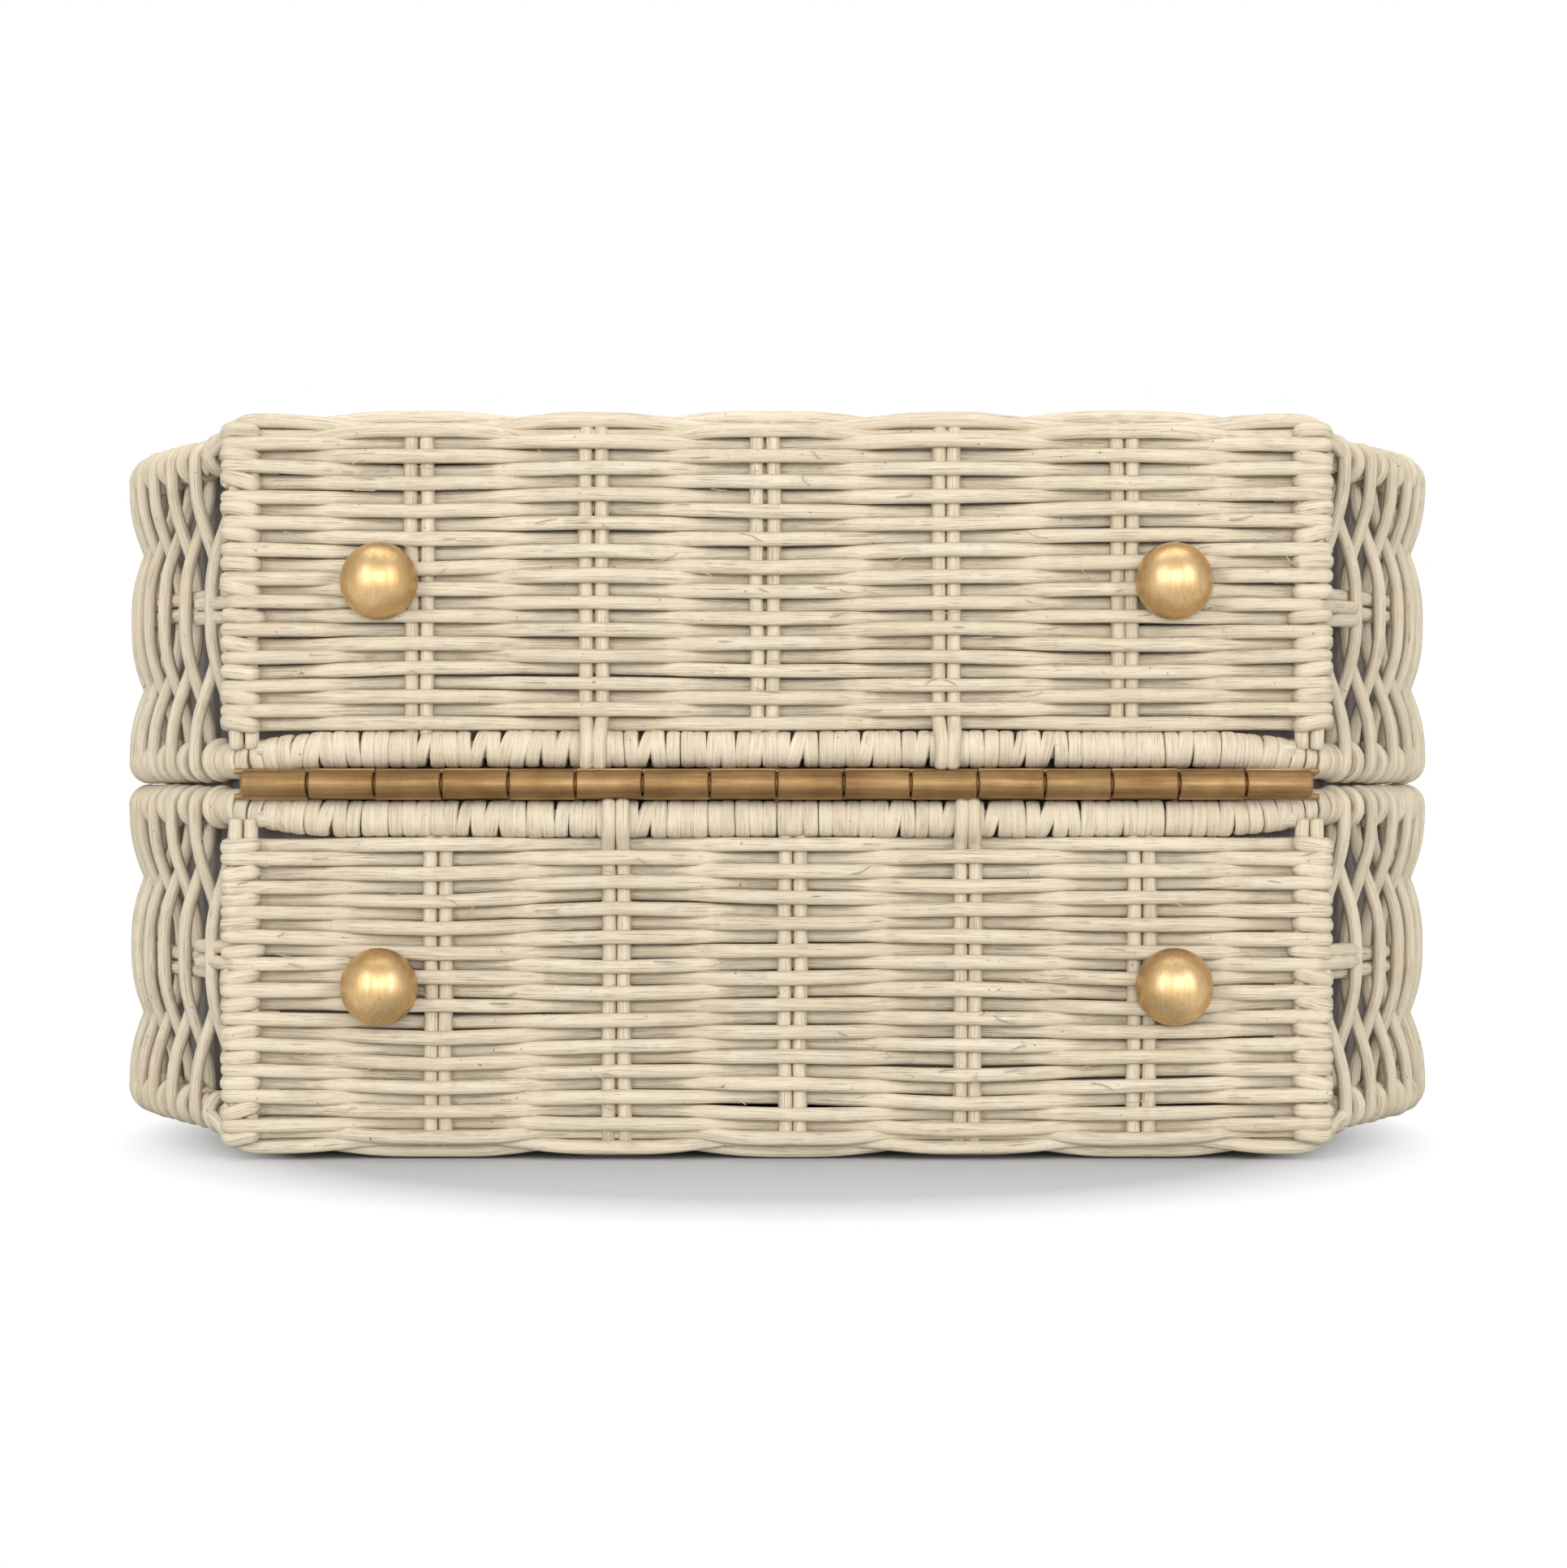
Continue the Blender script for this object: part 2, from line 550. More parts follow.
def base_row(k, shell, shift):
    """One row: turned end, bays over and under the stakes, turned end. Front is towards -v. A wrap
    tilts a little as it crosses the post. Round the bend of the stakes a row lies at an angle."""
    stops = pair_places(shell)
    front = np.where((np.arange(len(stops)) + k) % 2 == 1, 1.0, -1.0)
    x, height = bays(stops, front, base_bay_steps)
    right = post_turn(front[-1])
    left = post_turn(front[0])[::-1] * (-1, 1)
    x = np.concatenate([left[:, 0] - post_x, x[1:-1], right[:, 0] + post_x])
    height = np.concatenate([left[:, 1], height[1:-1], right[:, 1]])
    past_post = np.abs(x) - post_x
    wrap = np.clip((past_post + 6) / 3, 0, 1) * (height > 0) * (front[-1] < 0)
    left_tilt, right_tilt = rng.normal(wrap_tilt, tilt_spread, 2)
    w = base_first + base_step * k + np.interp(x, stops, shift)
    w = w + wrap * np.where(x < 0, left_tilt, right_tilt) * past_post / 3
    turn = np.maximum(w - face_hoop_w, 0) / (bend_r + lift)
    rise = lift * height
    far = bend_r + np.where(turn > bend_turn, np.maximum(rise, -bend_deep) * bend_flat, rise)
    v = bend_r - far * np.cos(turn)
    return np.stack([x, v, np.minimum(w, face_hoop_w) + far * np.sin(turn)], axis=1)


def long_row(k, shell, shift):
    """A row that doesn't turn at the posts: it passes them, leans back with the wall beyond them
    and ends behind the wall strands."""
    stops = np.concatenate([[-post_x - row_past], pair_places(shell), [post_x + row_past]])
    front = np.where((np.arange(len(stops)) + k) % 2 == 0, 1.0, -1.0)
    front[[0, -1]] = 0
    x, height = bays(stops, front, base_bay_steps)
    back = np.maximum(np.abs(x) - post_x - 1.0, 0) * wall_slope
    w = base_first + base_step * k + np.interp(x, stops[1:-1], shift)
    return np.stack([x, back - lift * height, w], axis=1)


def post_wrap(k, side):
    """One short turn of reed round an end post: an ellipse, tilted a little, closed behind it."""
    turn = np.linspace(0.5 * np.pi, 2.5 * np.pi, 28)
    x = side * post_x + (pair_x + wrap_r) * np.cos(turn)
    w = base_first + base_step * k + wrap_rise * side * np.cos(turn)
    return np.stack([x, lift * np.sin(turn), w], axis=1)


def corner_row(k, shell):
    """One of the last rows: it lies on the bend of the stakes, and beyond each post it falls in a
    curve of power 1.4 and goes back along the hoop of the side."""
    stops = np.concatenate([[-corner_x], pair_places(shell), [corner_x]])
    front = np.where((np.arange(len(stops)) + k) % 2 == 0, 1.0, -0.1)
    front[[0, -1]] = 0.3
    x, height = bays(stops, front, base_bay_steps)
    fall_x = post_x - fall_from
    fall = np.clip((np.abs(x) - fall_x) / (corner_x - fall_x), 0, 1) ** 1.4
    turn = (base_first + base_step * k - face_hoop_w) / (bend_r + lift)
    far = bend_r + lift * height
    v = bend_r - far * np.cos(turn) + fall_up * fall
    return np.stack([x, v, face_hoop_w + far * np.sin(turn) - fall_in * fall], axis=1)


def loose_fibres(count):
    """Fine ends of fibre that lift off the rows: short parabolas from the front of a row, mostly
    along it and a little outwards."""
    row = rng.integers(1, base_rows - 4, count)
    start = np.stack([
        rng.uniform(-post_x, post_x, count), np.full(count, -lift - 0.9),
        base_first + base_step * row + rng.uniform(-1.0, 1.0, count),
    ], axis=1)
    reach = np.stack([
        rng.choice([-1.0, 1.0], count) * rng.uniform(1.4, 4.2, count),
        -rng.uniform(0.3, 0.9, count), rng.normal(0, 0.9, count),
    ], axis=1)
    go = np.linspace(0, 1, 6)[None, :, None]
    return start[:, None] + reach[:, None] * np.concatenate([go, go * go, go * go], axis=2)


for shell in shells:
    runs = []
    shifts = wander(base_rows, len(pair_places(shell)), row_wander)
    for k in range(base_rows):
        if k in long_rows:
            line = long_row(k, shell, shifts[k])
        elif k in corner_rows:
            line = corner_row(k, shell)
        else:
            line = base_row(k, shell, shifts[k])
        line = in_shell(line[None], shell)
        size = rng.normal(1, row_change) + uneven(1, line.shape[1], row_change, 6)
        if k % 2 == 0 and k not in long_rows:
            near_post = np.clip((np.abs(line[:, :, 0]) * 1000 - post_x + 5) / 2, 0, 1)
            size = size + post_swell * near_post
        runs.append(run_reed(line, reed_section, (0, 0, 1), size))
    wraps = np.stack([post_wrap(long_rows[0], side) for side in (-1, 1)])
    runs.append(run_reed(in_shell(wraps, shell), reed_section, (0, 0, 1)))
    fibres = in_shell(loose_fibres(fibre_count), shell)
    runs.append(run_reed(fibres, round_reed(fibre_d, 4), (0, 0, 1)))
    put_reed(join(runs), shell, "base_rows", "reed", "base_weave")

# Wall canes: a pair of thin canes bent round the sides and the top, half way between the hoops.
# The wall strands pass in front of them and behind them.

wall_cane_w, wall_cane_gap = 34.9, 2.5
for shell in shells:
    place, _ = on_wall(np.linspace(-wall_l + wall_cane_gap, wall_l - wall_cane_gap, hoop_steps))
    lines = np.stack([
        np.concatenate([place, np.full((hoop_steps, 1), wall_cane_w + side * pair_x)], axis=1)
        for side in (-1, 1)
    ])
    run = run_reed(in_shell(lines, shell), round_reed(cane_d, 10), (0, 0, 1))
    put_reed(run, shell, "wall_cane_pair", "cane", "wall_canes")

# Wall weave: round reed hooked round both hoops, so close that its loops hide them. One strand
# goes outside the hoops and behind the wall canes, and the next one the other way about.

strands_half, top_strands, strand_free = 52, 21, 7.0
strand_section = round_reed(2.9, 9, 0.86)
strand_step = (wall_l - strand_free) / strands_half
hook_r, mid_r, strand_sway, strand_shift, strand_change = 3.05, 2.6, 0.22, 0.12, 0.03


def strand_path(outside):
    """Side view of a strand: its place out of the wall, the share of the way from the rim hoop to
    the face hoop, and how far it stands off the hoop that it turns round. Part of a circle round
    the rim hoop, one wave of a cosine across the wall, and part of a circle round the face hoop."""
    reach, points = (215, 16) if outside else (285, 20)
    turn = np.linspace(np.radians(reach), 0, points)
    side = 1.0 if outside else -1.0
    share = np.linspace(0, 1, 34)[1:-1]
    wave = np.cos(2 * np.pi * share)
    wave = wave * (1.3 - 0.3 * wave * wave)
    span = side * ((hook_r - mid_r) / 2 + (hook_r + mid_r) / 2 * wave)
    rim = np.stack([side * hook_r * np.cos(turn), 0 * turn, -hook_r * np.sin(turn)], axis=1)
    mid = np.stack([span, share, 0 * share], axis=1)
    face = np.stack([side * hook_r * np.cos(turn), 1 + 0 * turn, hook_r * np.sin(turn)], axis=1)
    return np.concatenate([rim, mid, face[::-1]])


def strand_lines(lengths, outside):
    """Strands at lengths along the outline: the side view, stood up square to the wall, with a slow
    sway along it."""
    path = strand_path(outside)
    count, steps = len(lengths), len(path)
    sway = lengths[:, None] + uneven(count, steps, strand_sway, 1.0)
    place, out = on_wall(sway)
    lines = np.zeros((count, steps, 3))
    lines[:, :, :2] = place + out * path[None, :, :1]
    at, way = on_wall(lengths)
    span = hoop_depth(at[:, 1])[:, None] - rim_w
    lines[:, :, 2] = rim_w + span * path[:, 1] + path[:, 2] + rng.normal(0, strand_shift, (count, 1))
    across = np.stack([-way[:, 1], way[:, 0], np.zeros(count)], axis=1)[:, None, :]
    return lines, across


side_strands = (top_strands, strands_half)
wall_parts = {"top": (0, top_strands), "right": side_strands, "left": side_strands}
for shell in shells:
    for part, (first, last) in wall_parts.items():
        lengths = (np.arange(first, last) + 0.5) * strand_step
        if part == "top":
            lengths = np.concatenate([-lengths[::-1], lengths])
        if part == "left":
            lengths = -lengths
        number = np.round(np.abs(lengths) / strand_step - 0.5).astype(int) + (lengths < 0)
        runs = []
        for outside in (True, False):
            own = lengths[number % 2 == (1 if outside else 0)]
            lines, across = strand_lines(own, outside)
            size = 1 + uneven(len(own), lines.shape[1], strand_change, 2)
            runs.append(run_reed(in_shell(lines, shell), strand_section, across, size))
        put_reed(join(runs), shell, part + "_wall_strands", "reed", part + "_wall_weave")

# Face weave: rows of the same reed in front of and behind the stakes of the face. Each row ends
# round the face hoop, which is the last thing that it goes over or under.

face_rows, face_first, face_step, face_lift = 63, 6.6, 2.72, 2.1
face_bay_steps, face_wander, face_change = 10, 0.2, 0.035
face_section = round_reed(2.5, 8)
row_inset, hold_gap, face_hook_r, edge_l = 1.0, 9, 2.4, 16


def half_width(v):
    """Half width of the outline at a height, from the four arcs."""
    place, _ = on_wall(np.linspace(0, wall_l, 900))
    return np.interp(v, place[::-1, 1], place[::-1, 0])


def face_row(k, shell, shift):
    """One row between the sides of the hoop, with most of half a circle round it at each end."""
    v = face_first + face_step * k
    wide = half_width(v) - row_inset
    middles = pair_places(shell)
    held = np.abs(middles) < wide - hold_gap
    number = np.flatnonzero(held)
    stops = np.concatenate([[-wide], middles[held], [wide]])
    number = np.concatenate([[number[0] - 1], number, [number[-1] + 1]])
    front = np.where((number + k) % 2 == 0, 1.0, -1.0)
    x, height = bays(stops, front, face_bay_steps)
    turn = np.linspace(0, 2.6, 9)[1:]
    right = np.stack([wide + face_hook_r * np.sin(turn), front[-1] * np.cos(turn)], axis=1)
    left = np.stack([-wide - face_hook_r * np.sin(turn), front[0] * np.cos(turn)], axis=1)[::-1]
    x = np.concatenate([left[:, 0], x, right[:, 0]])
    height = np.concatenate([left[:, 1], height, right[:, 1]])
    edge = np.clip((np.abs(x) - wide + edge_l) / edge_l, 0, 1)
    w = face_w + face_lift * height - edge * edge * (3 - 2 * edge) * (face_w - hoop_depth(v))
    v = v + np.interp(x, middles, shift)
    return np.stack([x, v, w], axis=1)


for shell in shells:
    runs = []
    shifts = wander(face_rows, len(pair_places(shell)), face_wander)
    for k in range(face_rows):
        line = in_shell(face_row(k, shell, shifts[k])[None], shell)
        size = 1 + uneven(1, line.shape[1], face_change, 6)
        runs.append(run_reed(line, face_section, (0, 1, 0), size))
    put_reed(join(runs), shell, "face_rows", "reed", "face_weave")

# Rim binding: flat reed wound round the rail and the ends of the rim hoop, turn against turn. Some
# turns lean, and leave a dark slit beside them.

binding_r, binding_turns, turn_points = 2.92, 84, 25
binding_section = flat_reed(2.74, 1.25, 12, 0.70)
bound_half, bound_w, bound_hoop, bound_points = 93.0, rail_w + 0.15, 9.0, 12
turn_shift, turn_lean, more_lean, more_share, lean_reach = 0.12, 0.032, 0.15, 0.12, 1.9
turn_wide, turn_spread = 1.03, 0.05


def rim_line(steps):
    """The rail, and the first of the rim hoop at each end of it, as one smooth line. The corners are
    softened by fourteen running means."""
    up, _ = on_wall(np.linspace(wall_l - bound_hoop, wall_l, bound_points))
    hoop = np.concatenate([up, np.full((bound_points, 1), rim_w)], axis=1)
    rail = np.linspace((bound_half, 0, bound_w), (-bound_half, 0, bound_w), 80)
    line = np.concatenate([hoop, rail, hoop[::-1] * (-1, 1, 1)])
    for _ in range(14):
        line[1:-1] = (line[:-2] + 2 * line[1:-1] + line[2:]) / 4
    return spaced(line, steps)


def binding_lines(shell):
    """Circles round the rim line, each shifted a little along it. A turn that leans is sheared along
    the line by a sine, and some turns lean more than the rest."""
    middle = rim_line(binding_turns)
    along = np.gradient(middle, axis=0)
    along /= np.linalg.norm(along, axis=1, keepdims=True)
    middle = middle + along * rng.normal(0, turn_shift, (binding_turns, 1))
    out = np.stack([along[:, 1], -along[:, 0], 0 * along[:, 0]], axis=1)
    out *= np.sign(-out[:, 1:2])
    down = np.cross(along, out)
    down *= np.sign(-down[:, 2:])
    slant = rng.normal(0.0, turn_lean, binding_turns)
    slant = (slant + more_lean * (rng.random(binding_turns) < more_share)) * shells[shell]
    turn = np.linspace(np.pi, 3 * np.pi, turn_points)[:, None]
    far = binding_r + rng.normal(0, turn_spread, (binding_turns, 1, 1))
    lines = middle[:, None] + far * (np.cos(turn) * out[:, None] + np.sin(turn) * down[:, None])
    lines = lines + along[:, None] * slant[:, None, None] * binding_r * lean_reach * np.sin(turn)
    return lines, along[:, None] * (1, 1, shells[shell])


for shell in shells:
    lines, across = binding_lines(shell)
    wide = turn_wide + rng.normal(0.0, turn_spread, (binding_turns, 1))
    run = run_reed(in_shell(lines, shell), binding_section, across, wide)
    put_reed(run, shell, "binding_turns", "reed", "rim_binding")

# Hinge: a length of continuous hinge in aged brass. Each leaf is rolled into every second knuckle
# round a brass pin, and is screwed to its rim rail through the binding.


def aged_brass(name, bright, dull, rough, brush):
    """Worn metal: dull tarnish in soft clouds, fine brushed lines and small dark specks."""
    material, wire = start_material(name)
    where = wire.node("TexCoord", out=3)
    cloud = wire.noise(where, 120.0, 4.0, 0.6)
    lines = wire.noise(wire.node("Mapping", None, {0: where, 3: brush}), 1.0, 3.0, 0.6)
    specks = wire.noise(where, 1400.0, 2.0).over(0.70, 0.78)
    dark = (0.55 * cloud + 0.45 * lines).over(0.36, 0.66)
    tone = wire.mix(dark, (*bright, 1), (*dull, 1))
    tone = wire.mix(specks * 0.5, tone, (0.16, 0.09, 0.04, 1))
    relief = wire.node("Bump", None, {"Strength": 0.25, "Distance": 0.0001, "Height": lines})
    gloss = rough + 0.18 * lines + 0.10 * cloud - 0.14
    end_material(wire, wire.node("BsdfPrincipled", None, {
        "Base Color": tone, "Metallic": 1.0, "Roughness": gloss, "Normal": relief,
    }))
    return material


hinge_brass = aged_brass(
    "hinge_brass", (0.345, 0.220, 0.100), (0.185, 0.100, 0.040), 0.53, (60, 1600, 1600))
foot_brass = aged_brass(
    "foot_brass", (0.735, 0.525, 0.280), (0.56, 0.36, 0.155), 0.41, (1500, 1500, 110))


def lathe(profile, turns=40, hollow=False):
    """A profile of (along, out) places turned once round the first axis. A hollow one goes back to
    its first place, and a solid one has a small cap at each end."""
    turn = np.arange(turns) * 2 * np.pi / turns
    points = np.stack([
        np.broadcast_to(profile[:, :1], (len(profile), turns)),
        profile[:, 1:] * np.cos(turn),
        profile[:, 1:] * np.sin(turn),
    ], axis=-1)
    index = np.arange(points.shape[0] * turns).reshape(-1, turns)
    caps = [] if hollow else [np.stack([index[0, ::-1], index[-1]])]
    index = np.concatenate([index, index[:1]]) if hollow else index
    return points.reshape(-1, 3), [ring_quads(index)] + caps, {}


def slab(low, high, soft=0.12, sides=16):
    """A plate with its long edges eased: a rounded square section carried along x, a little smaller
    at both ends."""
    turn = (np.arange(sides) + 0.5) * 2 * np.pi / sides
    both = np.stack([np.cos(turn), np.sin(turn)], axis=1)
    corner = np.sign(both) * (np.abs(both) ** soft)
    middle = (np.array(low) + high) / 2
    half = (np.array(high) - low) / 2
    end_l = 0.15
    x = np.array([low[0], low[0] + end_l, high[0] - end_l, high[0]])
    shrink = np.array([0.9, 1.0, 1.0, 0.9])
    ring = np.zeros((len(x), sides, 3))
    ring[:, :, 0] = x[:, None]
    ring[:, :, 1:] = middle[1:] + corner * half[1:] * shrink[:, None, None]
    index = np.arange(len(x) * sides).reshape(len(x), sides)
    caps = np.stack([index[0, ::-1], index[-1]])
    return ring.reshape(-1, 3), [ring_quads(index), caps], {}


def knuckle_profile(half):
    """Half section of a knuckle: up one end, a quarter circle on to the barrel, the other end the
    same, and back through the bore."""
    ease = np.linspace(0, np.pi / 2, 5)
    left = np.stack([
        end_r - half - end_r * np.cos(ease), barrel_r - end_r + end_r * np.sin(ease),
    ], axis=1)
    mouth = np.array([[half, bore_r + 0.01]])
    bore = np.stack([np.linspace(half, -half, 3), np.full(3, bore_r)], axis=1)
    return np.concatenate([mouth * (-1, 1), left, (left * (-1, 1))[::-1], mouth, bore])


knuckle_l, barrel_r, bore_r, knuckles, hinge_v = 12.7, 2.64, 1.55, 16, -4.0
end_r, knuckle_gap = 0.55, 0.16
leaf_in, leaf_out, leaf_past, leaf_low, leaf_top = 1.86, 3.0, 1.9, -0.9, 6.6
tab_low, tab_top = hinge_v + 0.4, -0.6
hinge_half = knuckle_l * knuckles / 2
knuckle_half = knuckle_l / 2 - knuckle_gap
barrel, barrel_faces, _ = lathe(knuckle_profile(knuckle_half), hollow=True)
for shell in shells:
    shapes = []
    for i in range(0 if shell == "lower" else 1, knuckles, 2):
        x = -hinge_half + (i + 0.5) * knuckle_l
        shapes.append((barrel + (x, hinge_v, 0), barrel_faces, {}))
        shapes.append(slab((x - knuckle_half, tab_low, leaf_in), (x + knuckle_half, tab_top, leaf_out)))
    leaf_half = hinge_half + leaf_past
    shapes.append(slab((-leaf_half, leaf_low, leaf_in), (leaf_half, leaf_top, leaf_out)))
    points, faces, _ = join(shapes)
    if shell == "lower":
        faces = [f[:, ::-1] for f in faces]
    leaf = put_mesh(shell + "_hinge_leaf_brass", in_shell(points, shell), faces, hinge_brass)
    fit(leaf, shell, "brass", "hinge_leaf")
    leaf.modifiers.new("edges", "EDGE_SPLIT").split_angle = np.radians(50)

# Feet: turned brass domes, polished and then worn satin, each with a stud through the weave and
# the lining. A washer and a nut inside the bag hold it.

foot_r, foot_seat, foot_x, foot_w = 7.4, 3.55, 75.5, 38.5
stud_r, stud_end, tip_r = 2.0, 10.5, 0.001
turn = np.linspace(0, np.pi / 2 - 0.002, 30)
dome = np.stack([foot_seat + foot_r * np.cos(turn), foot_r * np.sin(turn)], axis=1)
dome[0, 1] = tip_r
lip = np.array([[foot_seat - 0.25, foot_r - 0.25], [foot_seat - 0.3, foot_r - 0.8]])
stud = np.array([[foot_seat - 0.3, stud_r], [-stud_end, stud_r], [-stud_end - 0.01, tip_r]])
ring, foot_faces, _ = lathe(np.concatenate([dome, lip, stud]), 56)
for shell in shells:
    for side, name in ((-1, "left_foot"), (1, "right_foot")):
        points = np.stack([ring[:, 1] + side * foot_x, -ring[:, 0], ring[:, 2] + foot_w], axis=1)
        faces = [f[:, ::-1] if shell == "upper" else f for f in foot_faces]
        foot = put_mesh(f"{shell}_{name}_dome", in_shell(points, shell), faces, foot_brass)
        fit(foot, shell, "brass", name)

# Handles: an arch of cane on each shell, wound with flat reed, turn against turn. Brass cups hold
# its ends, and their studs go through the wall between two strands.

handle_c, handle_arc_r, handle_turn, handle_w = 188.347, 61.686, np.radians(8.709), 9.0
handle_turns, band_points, arch_points, handle_gap = 80, 21, 120, 0.03
wound_r, handle_core_d = 3.95, 7.4
band_section = flat_reed(2.95, 1.05, 10)
first, last = -handle_turn + handle_gap, np.pi + handle_turn - handle_gap
round_arch = np.linspace(first, last, arch_points)
arch = np.stack([
    handle_arc_r * np.cos(round_arch),
    handle_c + handle_arc_r * np.sin(round_arch),
    np.full(arch_points, handle_w),
], axis=1)
for shell in shells:
    angle = np.linspace(first, last, handle_turns)[:, None] + rng.normal(0, 0.002, (handle_turns, 1))
    turn = np.linspace(0, 2 * np.pi, band_points)
    lean_by = 0.010 * np.sin(turn) + rng.normal(0, 0.004, (handle_turns, 1)) * np.cos(turn)
    wound = wound_r + rng.normal(0, 0.05, (handle_turns, 1))
    at = handle_arc_r + wound * np.cos(turn)
    lines = np.stack([
        at * np.cos(angle + lean_by),
        handle_c + at * np.sin(angle + lean_by),
        handle_w + wound * np.sin(turn) + 0 * angle,
    ], axis=-1)
    across = np.stack([-np.sin(angle), np.cos(angle), 0 * angle], axis=-1)
    bands = run_reed(in_shell(lines, shell), band_section, across)
    under = run_reed(in_shell(arch[None], shell), round_reed(handle_core_d, 14), (0, 0, 1))
    put_reed(join([bands, under]), shell, "handle_turns", "reed", "handle_wrap")

# Lining: one tray of lilac grey cotton in each shell, sewn up at the corners and turned under at
# the rim. It is drawn tight between the rim and the face. The edge of the lower one stands up a
# little inside the upper one, so that nothing shows through the seam.

lining_cloth, wire = start_material("lining_cloth")
where = wire.node("TexCoord", out=3)
split = wire.node("SeparateXYZ", None, {0: where})
side_x, side_y, side_z = (Wire(wire.tree, split.socket.node.outputs[i]) for i in range(3))
thread = 2 * np.pi / 0.0009
hem_stitch, stitch_l, seam_at = 6.0, 3.6, 3.9
warp = wire.math("SINE", (side_x + side_z) * thread)
weft = wire.math("SINE", (side_y + side_z * 0.8) * thread)
weave = 0.5 + 0.25 * warp * weft + 0.12 * wire.noise(where, 900.0, 2.0)
cloud = wire.noise(where, 40.0, 3.0)
tone = wire.mix(
    (0.6 * weave + 0.5 * cloud).over(0.30, 0.85), (0.105, 0.083, 0.074, 1), (0.235, 0.200, 0.200, 1))
hem = wire.mark("hem")
along = wire.mark("along")
fold = wire.mark("fold")
stitch_line = 1.0 - wire.math("ABSOLUTE", hem - hem_stitch).over(0.22, 0.42)
stitch = stitch_line * wire.math("SINE", along * (2 * np.pi / stitch_l)).over(-0.45, -0.05)
seam = 1.0 - wire.math("ABSOLUTE", fold - seam_at).over(0.10, 0.55)
tone = wire.mix(seam * 0.65, tone, (0.050, 0.038, 0.035, 1))
tone = wire.mix(stitch * 0.85, tone, (0.340, 0.300, 0.290, 1))
height = weave + 1.6 * stitch - 1.2 * stitch_line - 2.0 * seam
relief = wire.node("Bump", None, {"Strength": 0.5, "Distance": 0.00015, "Height": height})
end_material(wire, wire.node("BsdfPrincipled", None, {
    "Base Color": tone, "Roughness": 0.86 + 0.1 * cloud, "Normal": relief, "Sheen Weight": 0.15,
}))

around, base_around = 240, 40
tray_in, tray_base, tray_middle = 5.35, 95.5, (0.0, 86.0)
base_hem, side_from, side_over = 3.2, 9.0, 6.0
round_from, round_r, face_reach, no_stitch = 56.0, 5.0, 60.0, 30.0
# For each shell, how far its edge moves in, and the depth of its edge round the sides and top
tray_edge = {"lower": (1.1, -0.8), "upper": (0.0, 1.0)}


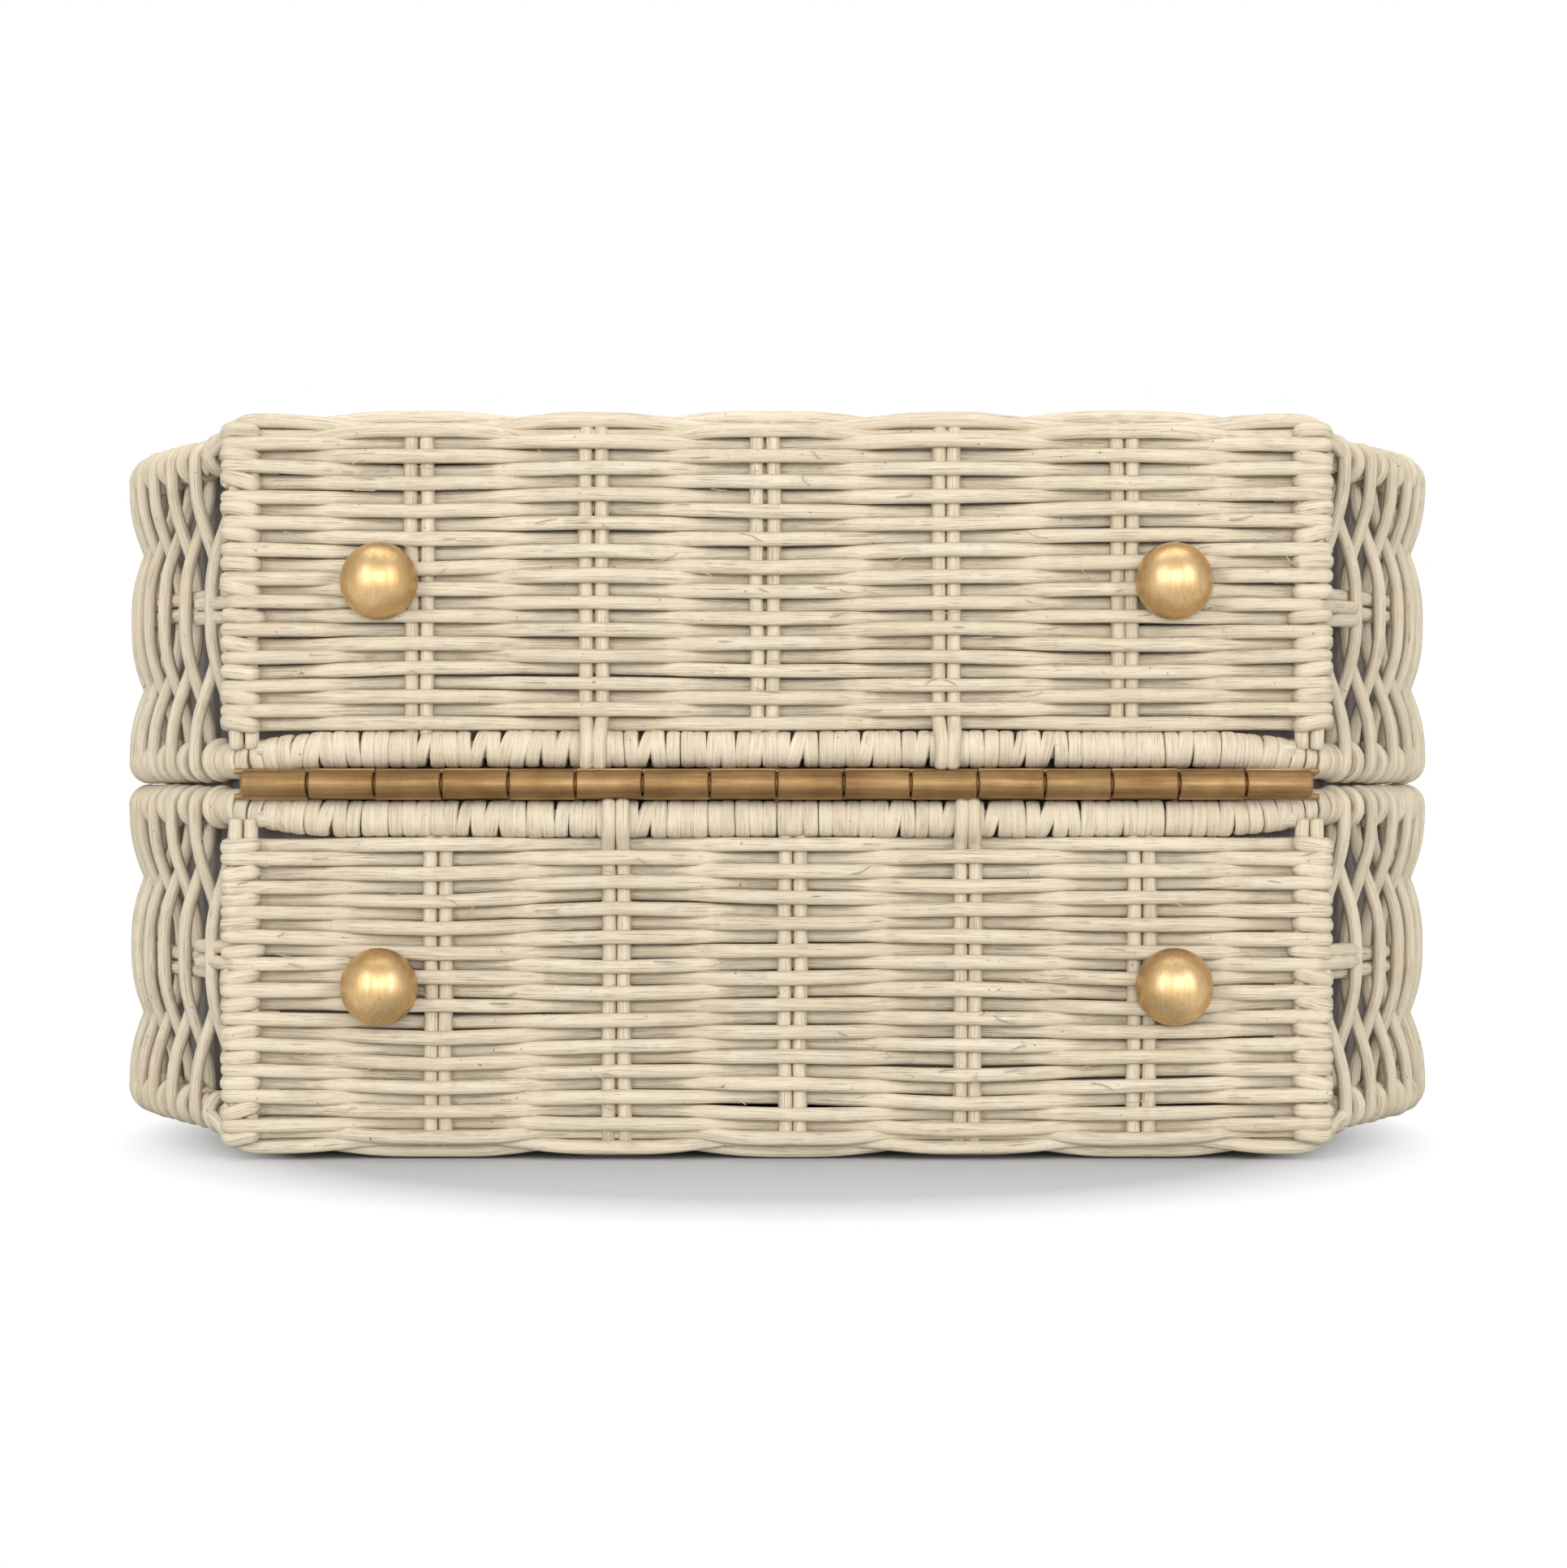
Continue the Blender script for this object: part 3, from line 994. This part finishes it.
def lining_tray(lip, hem_w):
    """Rings of the outline, moved in from the wall: down the wall from the rim, a small round at the
    face, then smaller and smaller outlines to the middle. The wall has shallow puckers and the face
    a slow ripple, both sines. The edge moves in by the lip, and lies at hem_w from the seam except
    along the base. The marks are millimetres from the edge, along it, and from the start of the
    round, for the stitches."""
    place, out = on_wall(np.linspace(-wall_l, wall_l, around - base_around))
    base_x = np.linspace(tray_base, -tray_base, base_around + 2)[1:-1]
    base = np.stack([base_x, np.full(base_around, tray_in)], axis=1)
    line = np.concatenate([place - out * tray_in, base])
    line[:, 1] = np.maximum(line[:, 1], tray_in)
    inward = np.array(tray_middle) - line
    inward /= np.linalg.norm(inward, axis=1, keepdims=True)
    rings, depth, fold = [], [], []
    side = np.clip((line[:, 1] - side_from) / side_over, 0, 1)
    hem = base_hem + (hem_w - base_hem) * side * side * (3 - 2 * side)
    pucker = 0.15 * np.sin(np.arange(around) * 0.6)
    for share in np.linspace(0, 1, 16):
        rings.append(line + inward * (pucker + lip * side * max(1 - 7 * share, 0))[:, None])
        depth.append(hem + (round_from - hem) * share)
        fold.append(depth[-1] - round_from)
    for turn in np.linspace(0.2, np.pi / 2, 6):
        rings.append(line + inward * round_r * (1 - np.cos(turn)))
        depth.append(np.full(around, round_from + round_r * np.sin(turn)))
        fold.append(np.full(around, round_r * turn))
    flat = line + inward * round_r
    for share in np.linspace(0.06, 0.985, 12):
        ripple = 0.25 * np.sin(np.arange(around) * 0.30 + 6 * share) * (1 - share)
        rings.append(flat + (tray_middle - flat) * share)
        depth.append(round_from + round_r - 0.5 * np.abs(ripple))
        fold.append(np.full(around, round_r * np.pi / 2 + face_reach * share))
    grid = np.concatenate([np.stack(rings), np.stack(depth)[..., None]], axis=2)
    index = np.arange(grid.shape[0] * around).reshape(-1, around)
    gone = np.cumsum(np.linalg.norm(line - np.roll(line, 1, axis=0), axis=1))
    marks = {
        "hem": (np.stack(depth) - hem + no_stitch * (1 - side)).ravel(),
        "along": np.tile(gone, len(rings)),
        "fold": np.stack(fold).ravel(),
    }
    return grid.reshape(-1, 3), [ring_quads(index), index[-1:]], marks


for shell in shells:
    points, faces, marks = lining_tray(*tray_edge[shell])
    if shell == "lower":
        faces = [f[:, ::-1] for f in faces]
    tray = put_mesh(shell + "_lining_tray", in_shell(points, shell), faces, lining_cloth, marks)
    thick = tray.modifiers.new("cloth", "SOLIDIFY")
    thick.thickness = 0.0007
    thick.offset = 0.0
    fit(tray, shell, "lining", "lining")

# Small fittings: handle cups, pin, screws and washers of brass, as they come from the lathe and
# the press. The nuts, the cups of the catch and the magnet are plated steel. The handle cores
# are cane.

plated_steel = aged_brass(
    "plated_steel", (0.62, 0.61, 0.60), (0.40, 0.39, 0.38), 0.30, (1200, 200, 1200))
finishes = {
    "pin": hinge_brass, "screws": hinge_brass, "washers": foot_brass, "ferrule": foot_brass,
    "nuts": plated_steel, "catch": plated_steel, "magnet": plated_steel, "core": cane_paint,
}
for name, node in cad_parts.items():
    for word, finish in finishes.items():
        if word in name:
            node.data.materials.clear()
            node.data.materials.append(finish)

bpy.context.view_layer.update()
